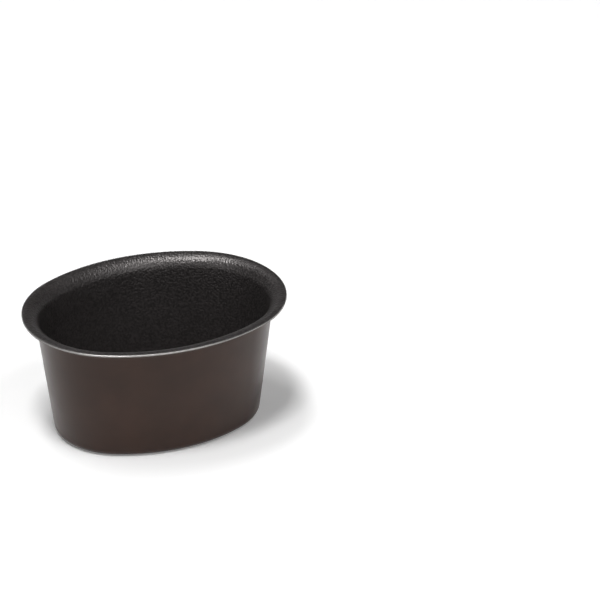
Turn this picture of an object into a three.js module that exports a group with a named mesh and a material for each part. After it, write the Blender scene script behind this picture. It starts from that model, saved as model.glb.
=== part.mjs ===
// Oval aspic mould: a deep cup drawn from one sheet of coated steel, with a lip that curls outward.
// Millimetres. +Z is up, +X runs along the oval, and the base stands on z = 0 about the origin.
import * as THREE from 'three';
import { LoftGeometry } from 'three/addons/geometries/LoftGeometry.js';
import { mergeGeometries } from 'three/addons/utils/BufferGeometryUtils.js';

// Outside of the mould, over its coats
const RIM_LENGTH = 80;
const RIM_WIDTH = 62;
const HEIGHT = 38.7;

// The plan is an oval of four arcs that meet smoothly: a tight one round each end, which turns through
// this angle, and a flatter one along each side.
const END_SWEEP_DEGREES = 125;

// Section of the pressing: the draft is the wall's lean from upright, and the base radius is on the outside
// of the bend. The lip is measured on its underside, from the line of the wall out to the trimmed edge, and
// it curls past level until it droops by this angle there.
const DRAFT_DEGREES = 7.1;
const BASE_RADIUS = 2.5;
const LIP_WIDTH = 3.9;
const LIP_DROOP_DEGREES = 15;

// Layers of the sheet
const LACQUER_THICKNESS = 0.1;
const STEEL_THICKNESS = 0.7;
const LINING_THICKNESS = 0.1;

// Facets along each arc of the plan, and across the base bend, the lip's rise to its crest and its droop
const END_STEPS = 26;
const SIDE_STEPS = 14;
const BASE_STEPS = 5;
const RISE_STEPS = 6;
const DROOP_STEPS = 1;

// Plan of the rim: each end arc is centred on the long axis, and each side arc on the short axis, past the
// middle. The two centres and the point where the arcs meet lie on one line, which fixes both radii.
const halfLength = RIM_LENGTH / 2;
const halfWidth = RIM_WIDTH / 2;
const meetAngle = THREE.MathUtils.degToRad(END_SWEEP_DEGREES) / 2;
const radiusDifference = (halfLength - halfWidth) / (Math.cos(meetAngle) + Math.sin(meetAngle) - 1);
const endRadius = halfLength - radiusDifference * Math.cos(meetAngle);
const sideRadius = endRadius + radiusDifference;
const endCentre = halfLength - endRadius;
const sideCentre = sideRadius - halfWidth;

// Section lines on the outside of the sheet, as distances from the mould's middle across the short axis
const sheetThickness = LACQUER_THICKNESS + STEEL_THICKNESS + LINING_THICKNESS;
const draft = THREE.MathUtils.degToRad(DRAFT_DEGREES);
const crestUnderside = HEIGHT - sheetThickness;
const wallTopReach = halfWidth - LIP_WIDTH;
const wallFootReach = wallTopReach - crestUnderside * Math.tan(draft);

// Both bends turn the sheet between level and the wall's slope, and each is level at this share of its
// radius away from the corner that it rounds off. The lip's radius fills its width up to the drooping edge.
const bendSetback = Math.tan((Math.PI / 2 - draft) / 2);
const lipDroop = THREE.MathUtils.degToRad(LIP_DROOP_DEGREES);
const lipRadius = LIP_WIDTH / (bendSetback + Math.sin(lipDroop));
const baseBend = new THREE.Vector2(wallFootReach - BASE_RADIUS * bendSetback, BASE_RADIUS);
const lipBend = new THREE.Vector2(wallTopReach + lipRadius * bendSetback, crestUnderside - lipRadius);

// An arc of a circle with its corners evenly spaced, leaving out the last, from which the next arc goes on
function arcPoints(centreX, centreY, radius, startAngle, endAngle, steps) {
  const arc = new THREE.EllipseCurve(centreX, centreY, radius, radius, startAngle, endAngle);
  return arc.getPoints(steps).slice(0, -1);
}

// Level ring round the mould through a point of the half section. Every ring keeps one distance inside the
// rim's outline all the way round, so that its arcs share their centres with the rim's.
function ovalRing({ x: reach, y: height }) {
  const inset = halfWidth - reach;
  const end = endRadius - inset;
  const side = sideRadius - inset;
  const plan = [
    ...arcPoints(endCentre, 0, end, -meetAngle, meetAngle, END_STEPS),
    ...arcPoints(0, -sideCentre, side, meetAngle, Math.PI - meetAngle, SIDE_STEPS),
    ...arcPoints(-endCentre, 0, end, Math.PI - meetAngle, Math.PI + meetAngle, END_STEPS),
    ...arcPoints(0, sideCentre, side, Math.PI + meetAngle, 2 * Math.PI - meetAngle, SIDE_STEPS),
  ];
  return plan.map(({ x, y }) => new THREE.Vector3(x, y, height));
}

// Half section of the surface at a depth into the sheet, from the edge of the flat base, round the base
// bend, up the wall and over the lip's crest to the upright trimmed edge. The bends at every depth share
// their centres, so that the sheet has one thickness all over.
function halfSection(depth) {
  const baseRadius = BASE_RADIUS - depth;
  const radius = lipRadius + depth;
  const edgeAngle = Math.acos((halfWidth - lipBend.x) / radius);
  const baseArc = new THREE.EllipseCurve(
    baseBend.x, baseBend.y, baseRadius, baseRadius, -Math.PI / 2, -draft);
  const riseArc = new THREE.EllipseCurve(
    lipBend.x, lipBend.y, radius, radius, Math.PI - draft, Math.PI / 2, true);
  const droopArc = new THREE.EllipseCurve(
    lipBend.x, lipBend.y, radius, radius, Math.PI / 2, edgeAngle, true);
  return [
    ...baseArc.getPoints(BASE_STEPS),
    ...riseArc.getPoints(RISE_STEPS),
    ...droopArc.getPoints(DROOP_STEPS).slice(1),
  ];
}

// The whole surface at a depth into the sheet, facing out, closed over the flat base and open at the rim
function skin(depth) {
  return new LoftGeometry(halfSection(depth).map(ovalRing), { capStart: true });
}

function turnInsideOut(geometry) {
  const corners = geometry.index.array;
  geometry.setIndex(Array.from(corners).reverse());
  return geometry;
}

// One layer of the sheet: its outer and inner skins, joined by the cut face at the trimmed edge
function layer(outerDepth, innerDepth) {
  const cutFace = new LoftGeometry(
    [outerDepth, innerDepth].map((depth) => ovalRing(halfSection(depth).at(-1))));
  return mergeGeometries([skin(outerDepth), turnInsideOut(skin(innerDepth)), cutFace]);
}

function part(name, outerDepth, thickness, finish) {
  const mesh = new THREE.Mesh(
    layer(outerDepth, outerDepth + thickness), new THREE.MeshStandardMaterial(finish));
  mesh.name = name;
  return mesh;
}

const mould = new THREE.Group();
mould.add(
  part('outer_lacquer', 0, LACQUER_THICKNESS,
    { color: 0x3a2a25, roughness: 0.42, metalness: 0 }),
  part('steel_shell', LACQUER_THICKNESS, STEEL_THICKNESS,
    { color: 0x9a9a98, roughness: 0.35, metalness: 1 }),
  part('nonstick_lining', LACQUER_THICKNESS + STEEL_THICKNESS, LINING_THICKNESS,
    { color: 0x1c1b1b, roughness: 0.5, metalness: 0 }),
);

export default mould;
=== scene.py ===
"""Oval aspic mould: the three layers of its coated sheet as smooth bodies, in a plain white studio.

Metres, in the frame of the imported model: +Z up, +X along the oval, the base standing on z = 0.
"""
import math

import bpy
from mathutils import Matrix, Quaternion, Vector


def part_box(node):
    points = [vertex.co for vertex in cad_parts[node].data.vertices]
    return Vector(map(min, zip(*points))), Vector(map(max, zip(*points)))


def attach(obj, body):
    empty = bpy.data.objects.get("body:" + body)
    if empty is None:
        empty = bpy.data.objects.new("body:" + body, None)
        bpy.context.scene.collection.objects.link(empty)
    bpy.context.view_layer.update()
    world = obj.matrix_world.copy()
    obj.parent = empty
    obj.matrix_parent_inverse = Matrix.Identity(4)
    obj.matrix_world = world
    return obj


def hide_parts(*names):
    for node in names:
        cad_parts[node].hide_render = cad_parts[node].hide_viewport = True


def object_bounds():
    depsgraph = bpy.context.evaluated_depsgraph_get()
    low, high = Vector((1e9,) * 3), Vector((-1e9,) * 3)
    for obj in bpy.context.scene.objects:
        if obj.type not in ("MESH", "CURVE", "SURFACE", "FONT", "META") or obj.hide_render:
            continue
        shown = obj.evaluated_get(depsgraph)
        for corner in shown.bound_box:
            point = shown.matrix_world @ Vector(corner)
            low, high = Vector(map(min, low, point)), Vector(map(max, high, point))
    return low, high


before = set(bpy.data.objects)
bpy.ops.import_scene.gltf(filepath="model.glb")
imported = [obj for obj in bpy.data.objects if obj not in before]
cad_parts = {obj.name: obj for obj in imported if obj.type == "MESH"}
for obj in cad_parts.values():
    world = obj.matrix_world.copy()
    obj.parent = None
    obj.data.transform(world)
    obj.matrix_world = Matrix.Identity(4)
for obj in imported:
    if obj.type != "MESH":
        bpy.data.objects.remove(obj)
cad_low, cad_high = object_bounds()

MM = 0.001

# Sizes of the pressing that its boxes don't give, as the model was drawn
END_SWEEP = math.radians(125)
DRAFT = math.radians(7.1)
BASE_RADIUS = 2.5 * MM
LIP_WIDTH = 3.9 * MM
LIP_DROOP = math.radians(15)

# The trimmed edge: the rounding of the steel's two brinks, and how far round them each coat is drawn,
# as the direction that its last sliver faces
UPPER_ROUNDING = 0.32 * MM
LOWER_ROUNDING = 0.3 * MM
LINING_END = math.radians(68)
LACQUER_END = math.radians(-4)

# Fineness of the meshes, and the least angle between faces that shows as a crease
END_STEPS = 88
SIDE_STEPS = 56
BEND_STEPS = 16
LIP_STEPS = 20
EDGE_STEPS = 8
WALL_STEPS = 6
BASE_RINGS = 5
CREASE_ANGLE = math.radians(35)

# Sizes from the frame
lacquer_low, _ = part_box("outer_lacquer")
steel_low, steel_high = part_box("steel_shell")
lining_low, lining_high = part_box("nonstick_lining")
height = cad_high.z
half_length = (cad_high.x - cad_low.x) / 2
half_width = (cad_high.y - cad_low.y) / 2
steel_depth = steel_low.z - lacquer_low.z
lining_depth = lining_low.z - lacquer_low.z
lining_thickness = lining_high.z - steel_high.z
sheet = lining_depth + lining_thickness

# The plan is four arcs that meet smoothly: one round each end and one along each side
meet_angle = END_SWEEP / 2
radius_difference = (half_length - half_width) / (math.cos(meet_angle) + math.sin(meet_angle) - 1)
end_radius = half_length - radius_difference * math.cos(meet_angle)
side_radius = end_radius + radius_difference
end_centre = half_length - end_radius
side_centre = side_radius - half_width

# Section lines on the outside of the sheet, as distances from the middle across the short axis
crest_underside = height - sheet
wall_top = half_width - LIP_WIDTH
wall_foot = wall_top - crest_underside * math.tan(DRAFT)
bend_setback = math.tan((math.pi / 2 - DRAFT) / 2)
lip_radius = LIP_WIDTH / (bend_setback + math.sin(LIP_DROOP))
base_bend = Vector((wall_foot - BASE_RADIUS * bend_setback, BASE_RADIUS))
lip_bend = Vector((wall_top + lip_radius * bend_setback, crest_underside - lip_radius))


# Shapes

def arc(centre, radius, start, end, steps):
    """Points along an arc of a circle, both ends included."""
    angles = [start + (end - start) * step / steps for step in range(steps + 1)]
    return [Vector((centre[0] + radius * math.cos(a), centre[1] + radius * math.sin(a))) for a in angles]


def straight(start, end, steps):
    """Points between two points, both left out."""
    return [start.lerp(end, step / steps) for step in range(1, steps)]


def plan_ring(reach):
    """Corners round the mould in plan, at one distance inside the rim's outline."""
    inset = half_width - reach
    end, side = end_radius - inset, side_radius - inset
    half_turn = math.pi
    arcs = [
        arc((end_centre, 0), end, -meet_angle, meet_angle, END_STEPS),
        arc((0, -side_centre), side, meet_angle, half_turn - meet_angle, SIDE_STEPS),
        arc((-end_centre, 0), end, half_turn - meet_angle, half_turn + meet_angle, END_STEPS),
        arc((0, side_centre), side, half_turn + meet_angle, 2 * half_turn - meet_angle, SIDE_STEPS),
    ]
    return [point for points in arcs for point in points[:-1]]


def half_section(depth, lip_end):
    """The surface at a depth into the sheet, from the flat base's edge to where the lip's brink starts."""
    base_arc = arc(base_bend, BASE_RADIUS - depth, -math.pi / 2, -DRAFT, BEND_STEPS)
    lip_arc = arc(lip_bend, lip_radius + depth, math.pi - DRAFT, lip_end, LIP_STEPS)
    return base_arc + straight(base_arc[-1], lip_arc[0], WALL_STEPS) + lip_arc


def brink(depth, rounding, side):
    """Centre of the rounding between the upright edge and the steel's upper or lower face (side 1 or -1),
    and the direction from the lip's bend to it."""
    reach = half_width - rounding - lip_bend.x
    distance = lip_radius + depth - side * rounding
    rise = math.sqrt(distance ** 2 - reach ** 2)
    return lip_bend + Vector((reach, rise)), math.atan2(rise, reach)


def round_brink(centre, rounding, start, end, coat=0):
    """Points round a brink, without the first, under a coat that thins out smoothly to nothing at the end."""
    points = []
    for step in range(1, EDGE_STEPS + 1):
        share = step / EDGE_STEPS
        angle = start + (end - start) * share
        radius = rounding + coat * (1 - share * share * (3 - 2 * share))
        points.append(centre + radius * Vector((math.cos(angle), math.sin(angle))))
    return points


def band_faces(levels, count):
    """Four-sided faces between rings of corners, each ring to the next."""
    faces = []
    for level in range(levels - 1):
        low, high = level * count, (level + 1) * count
        for step in range(count):
            following = (step + 1) % count
            faces.append((low + step, low + following, high + following, high + step))
    return faces


def add_mesh(name, corners, faces, material):
    mesh = bpy.data.meshes.new(name)
    mesh.from_pydata(corners, [], faces)
    mesh.materials.append(material)
    piece = bpy.data.objects.new(name, mesh)
    bpy.context.scene.collection.objects.link(piece)
    return piece


def make_layer(name, node, outline, material):
    """One layer of the sheet as a closed body that stands for its node. Its half outline runs from the
    base's underside out to the trimmed edge and back."""
    rings = [[Vector((p.x, p.y, point.y)) for p in plan_ring(point.x)] for point in outline]
    shares = [step / BASE_RINGS for step in range(1, BASE_RINGS)]
    below = [[Vector((p.x * s, p.y * s, p.z)) for p in rings[0]] for s in shares]
    above = [[Vector((p.x * s, p.y * s, p.z)) for p in rings[-1]] for s in reversed(shares)]
    rings = below + rings + above
    count = len(rings[0])
    corners = [corner for ring in rings for corner in ring]
    faces = band_faces(len(rings), count)
    first, last = len(corners), len(corners) + 1
    corners += [Vector((0, 0, outline[0].y)), Vector((0, 0, outline[-1].y))]
    top = (len(rings) - 1) * count
    for step in range(count):
        following = (step + 1) % count
        faces.append((first, following, step))
        faces.append((last, top + step, top + following))
    piece = add_mesh(name, corners, faces, material)
    piece.data.validate()
    piece.data.shade_smooth()
    piece.data.set_sharp_from_angle(angle=CREASE_ANGLE)
    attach(piece, "root")
    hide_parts(node)


# Materials. Colours are linear, texture scales are in cells per metre, and bumps are in metres.
NOISE_DETAIL = 3
NOISE_ROUGHNESS = 0.55
NOISE_SPAN = (0.3, 0.7)

LACQUER_COLOURS = (0.0215, 0.0078, 0.0041), (0.0315, 0.0122, 0.0067)
LACQUER_ROUGHNESS = (0.285, 0.345)
LACQUER_SPECULAR = 0.34
LACQUER_SHEEN = (1, 0.91, 0.86, 1)
MOTTLE_SCALE = 90
SATIN_SCALE = 160
PEEL_SCALE = 260
PEEL_DETAIL = 2
PEEL_BUMP = 0.012 * MM

STEEL_COLOURS = (0.32, 0.31, 0.30), (0.42, 0.41, 0.40)
STEEL_ROUGHNESS = (0.28, 0.42)
STEEL_TONE_SCALE = 700
STEEL_GRAIN_SCALE = 1500

# Pebble colours: the coat's own grain tone, with the darker one put in the pits as painted shade in the
# hollows
LINING_GRAIN_AND_PIT_SHADE_COLOURS = (0.0135, 0.0121, 0.0119), (0.0385, 0.0345, 0.034)
LINING_ROUGHNESS = (0.36, 0.4)
LINING_SPECULAR = 1
LINING_SHEEN = (1, 0.95, 0.94, 1)
LINING_GLOSS_SCALE = 900
PEBBLE_SCALE = 1700
PEBBLE_DETAIL = 0
PEBBLE_BUMP = 0.15 * MM


def new_material(name):
    material = bpy.data.materials.new(name)
    material.use_nodes = True
    tree = material.node_tree
    return material, tree, tree.nodes["Principled BSDF"]


def object_position(tree):
    return tree.nodes.new("ShaderNodeTexCoord").outputs["Object"]


def noise(tree, position, scale, detail=NOISE_DETAIL):
    node = tree.nodes.new("ShaderNodeTexNoise")
    node.inputs["Scale"].default_value = scale
    node.inputs["Detail"].default_value = detail
    node.inputs["Roughness"].default_value = NOISE_ROUGHNESS
    tree.links.new(position, node.inputs["Vector"])
    return node.outputs["Fac"]


def remap(tree, value, span, source=NOISE_SPAN):
    """Brings a value from its source's span, that of a noise as a rule, to the span wanted."""
    node = tree.nodes.new("ShaderNodeMapRange")
    node.inputs["From Min"].default_value, node.inputs["From Max"].default_value = source
    node.inputs["To Min"].default_value, node.inputs["To Max"].default_value = span
    tree.links.new(value, node.inputs["Value"])
    return node.outputs["Result"]


def blend_colours(tree, value, colours):
    """Goes from the first colour to the second as a noise rises."""
    node = tree.nodes.new("ShaderNodeMix")
    node.data_type = "RGBA"
    first, second = colours
    node.inputs["A"].default_value = (*first, 1)
    node.inputs["B"].default_value = (*second, 1)
    tree.links.new(remap(tree, value, (0, 1)), node.inputs["Factor"])
    return node.outputs["Result"]


def bump(tree, value, distance):
    node = tree.nodes.new("ShaderNodeBump")
    node.inputs["Distance"].default_value = distance
    tree.links.new(value, node.inputs["Height"])
    return node.outputs["Normal"]


def lacquer_material():
    """Dark brown baked lacquer: satin, faintly mottled, with a slight orange peel and a warm sheen."""
    material, tree, shader = new_material("brown_lacquer")
    position = object_position(tree)
    colour = blend_colours(tree, noise(tree, position, MOTTLE_SCALE), LACQUER_COLOURS)
    roughness = remap(tree, noise(tree, position, SATIN_SCALE), LACQUER_ROUGHNESS)
    peel = bump(tree, noise(tree, position, PEEL_SCALE, PEEL_DETAIL), PEEL_BUMP)
    tree.links.new(colour, shader.inputs["Base Color"])
    tree.links.new(roughness, shader.inputs["Roughness"])
    tree.links.new(peel, shader.inputs["Normal"])
    shader.inputs["Specular IOR Level"].default_value = LACQUER_SPECULAR
    shader.inputs["Specular Tint"].default_value = LACQUER_SHEEN
    return material


def steel_material():
    """Sheared steel edge, dull grey."""
    material, tree, shader = new_material("sheared_steel")
    position = object_position(tree)
    colour = blend_colours(tree, noise(tree, position, STEEL_TONE_SCALE), STEEL_COLOURS)
    roughness = remap(tree, noise(tree, position, STEEL_GRAIN_SCALE), STEEL_ROUGHNESS)
    tree.links.new(colour, shader.inputs["Base Color"])
    tree.links.new(roughness, shader.inputs["Roughness"])
    shader.inputs["Metallic"].default_value = 1
    return material


def lining_material():
    """Black non-stick coat: satin, with a fine pebbled grain whose pits are painted darker, as painted shade
    in the hollows.
    """
    material, tree, shader = new_material("nonstick_black")
    position = object_position(tree)
    pebbles = noise(tree, position, PEBBLE_SCALE, PEBBLE_DETAIL)
    roughness = remap(tree, noise(tree, position, LINING_GLOSS_SCALE), LINING_ROUGHNESS)
    # The colour follows the pebbles' height, so the pits get painted shade
    tree.links.new(blend_colours(tree, pebbles, LINING_GRAIN_AND_PIT_SHADE_COLOURS), shader.inputs["Base Color"])
    tree.links.new(roughness, shader.inputs["Roughness"])
    tree.links.new(bump(tree, pebbles, PEBBLE_BUMP), shader.inputs["Normal"])
    shader.inputs["Specular IOR Level"].default_value = LINING_SPECULAR
    shader.inputs["Specular Tint"].default_value = LINING_SHEEN
    return material


# Layers, which share their faces. Each face of the steel leaves the lip's bend for its brink at an angle.
# The lower face looks back at the bend, so the rounding there starts half a turn from that angle.
upper_brink, upper_angle = brink(lining_depth, UPPER_ROUNDING, 1)
lower_brink, lower_angle = brink(steel_depth, LOWER_ROUNDING, -1)
lower_start = lower_angle - math.pi


def make_lacquer():
    """The brown outside, drawn round the lower brink."""
    outer = half_section(0, lower_angle)
    inner = half_section(steel_depth, lower_angle)
    outer_end = round_brink(lower_brink, LOWER_ROUNDING, lower_start, LACQUER_END, steel_depth)
    inner_end = round_brink(lower_brink, LOWER_ROUNDING, lower_start, LACQUER_END)[:-1]
    outline = outer + outer_end + inner_end[::-1] + inner[::-1]
    make_layer("lacquer_coat", "outer_lacquer", outline, lacquer_material())


def make_steel():
    """The sheet, with both brinks rounded into its upright edge."""
    lower = half_section(steel_depth, lower_angle)
    upper = half_section(lining_depth, upper_angle)
    lower_end = round_brink(lower_brink, LOWER_ROUNDING, lower_start, 0)
    upper_end = round_brink(upper_brink, UPPER_ROUNDING, upper_angle, 0)
    outline = lower + lower_end + upper_end[::-1] + upper[::-1]
    make_layer("steel_sheet", "steel_shell", outline, steel_material())


def make_lining():
    """The black inside, drawn over the lip onto the upper brink."""
    outer = half_section(lining_depth, upper_angle)
    inner = half_section(sheet, upper_angle)
    outer_end = round_brink(upper_brink, UPPER_ROUNDING, upper_angle, LINING_END)[:-1]
    inner_end = round_brink(upper_brink, UPPER_ROUNDING, upper_angle, LINING_END, lining_thickness)
    outline = outer + outer_end + inner_end[::-1] + inner[::-1]
    make_layer("nonstick_coat", "nonstick_lining", outline, lining_material())


# Studio
FLOOR_RADIUS = 2.5
COVE_RADIUS = 0.3
BACKDROP_HEIGHT = 0.5
FLOOR_STEPS = 96
COVE_STEPS = 12
FLOOR_ALBEDO = 0.96
FLOOR_GLOW = 0.125
AMBIENT = 0.01

# Softboxes that face the mould: the way to each, its distance, its size across and along the way to it,
# and the level to which it lights a white floor. The key hangs overhead, to the left and in front.
SOFTBOXES = {
    "key": ((-0.2, -0.22, 1), 2.1, (0.4, 0.4), 0.46),
    "strip": ((-0.17, 0.12, 1), 2.1, (0.8, 0.36), 0.32),
    "rear": ((-0.2, 0.78, 0.95), 2.2, (1.0, 0.6), 0.03),
    "left": ((-0.85, -0.35, 0.45), 2.3, (1.4, 1.0), 0.04),
    "second": ((0.24, -0.46, 1), 2.2, (0.8, 0.36), 0.12),
    "front": ((0.18, -0.93, 0.6), 2.3, (1.6, 1.0), 0.085),
}

# The camera, from a fit to the photograph's outlines; its aim is the middle of the picture on the floor
CAMERA_AIM = Vector((68.45, 50.06, 0)) * MM
CAMERA_AZIMUTH = math.radians(-23.44)
CAMERA_ELEVATION = math.radians(28.064)
CAMERA_ROLL = math.radians(-0.346)
CAMERA_DISTANCE = 1.2979
CAMERA_LENS = 247.19
CAMERA_SENSOR = 36
CAMERA_CLIP = (0.05, 20)


def floor_material():
    """White paper, which the camera and reflections see a little brighter, with its shadow kept."""
    material, tree, shader = new_material("white_paper")
    shader.inputs["Base Color"].default_value = (FLOOR_ALBEDO,) * 3 + (1,)
    shader.inputs["Roughness"].default_value = 1
    shader.inputs["Specular IOR Level"].default_value = 0
    shader.inputs["Emission Color"].default_value = (1, 1, 1, 1)
    ray = tree.nodes.new("ShaderNodeLightPath")
    seen = ray.outputs["Is Camera Ray"]
    for kind in ("Is Glossy Ray", "Is Transmission Ray"):
        either = tree.nodes.new("ShaderNodeMath")
        either.operation = "MAXIMUM"
        tree.links.new(seen, either.inputs[0])
        tree.links.new(ray.outputs[kind], either.inputs[1])
        seen = either.outputs[0]
    glow = remap(tree, seen, (0, FLOOR_GLOW), source=(0, 1))
    tree.links.new(glow, shader.inputs["Emission Strength"])
    return material


def make_floor():
    """A round floor that sweeps up into a low backdrop all the way round."""
    cove = arc((FLOOR_RADIUS, COVE_RADIUS), COVE_RADIUS, -math.pi / 2, 0, COVE_STEPS)
    profile = cove + [Vector((FLOOR_RADIUS + COVE_RADIUS, BACKDROP_HEIGHT))]
    turns = [2 * math.pi * step / FLOOR_STEPS for step in range(FLOOR_STEPS)]
    corners = [Vector((p.x * math.cos(t), p.x * math.sin(t), p.y)) for p in profile for t in turns]
    faces = [tuple(range(FLOOR_STEPS))] + band_faces(len(profile), FLOOR_STEPS)
    add_mesh("floor", corners, faces, floor_material())


def softbox(name, towards, distance, size, level):
    """An area lamp that lights a white floor at the origin to the level given."""
    direction = Vector(towards).normalized()
    lamp = bpy.data.lights.new(name, "AREA")
    lamp.shape = "RECTANGLE"
    lamp.size, lamp.size_y = size
    lamp.energy = level * (math.pi * distance) ** 2 / direction.z
    holder = bpy.data.objects.new(name, lamp)
    holder.location = direction * distance
    holder.rotation_mode = "QUATERNION"
    holder.rotation_quaternion = direction.to_track_quat("Z", "Y")
    bpy.context.scene.collection.objects.link(holder)


def make_world():
    world = bpy.data.worlds.new("studio")
    world.use_nodes = True
    background = world.node_tree.nodes["Background"]
    background.inputs["Color"].default_value = (1, 1, 1, 1)
    background.inputs["Strength"].default_value = AMBIENT
    bpy.context.scene.world = world


def make_camera():
    data = bpy.data.cameras.new("camera")
    data.lens = CAMERA_LENS
    data.sensor_width = CAMERA_SENSOR
    data.clip_start, data.clip_end = CAMERA_CLIP
    camera = bpy.data.objects.new("camera", data)
    back = Vector((
        math.sin(CAMERA_AZIMUTH) * math.cos(CAMERA_ELEVATION),
        -math.cos(CAMERA_AZIMUTH) * math.cos(CAMERA_ELEVATION),
        math.sin(CAMERA_ELEVATION),
    ))
    camera.location = CAMERA_AIM + back * CAMERA_DISTANCE
    camera.rotation_mode = "QUATERNION"
    camera.rotation_quaternion = (-back).to_track_quat("-Z", "Y") @ Quaternion((0, 0, 1), CAMERA_ROLL)
    bpy.context.scene.collection.objects.link(camera)
    bpy.context.scene.camera = camera


make_lacquer()
make_steel()
make_lining()
make_floor()
make_world()
for lamp_name, lamp_settings in SOFTBOXES.items():
    softbox(lamp_name, *lamp_settings)
make_camera()
bpy.context.scene.view_settings.view_transform = "Standard"
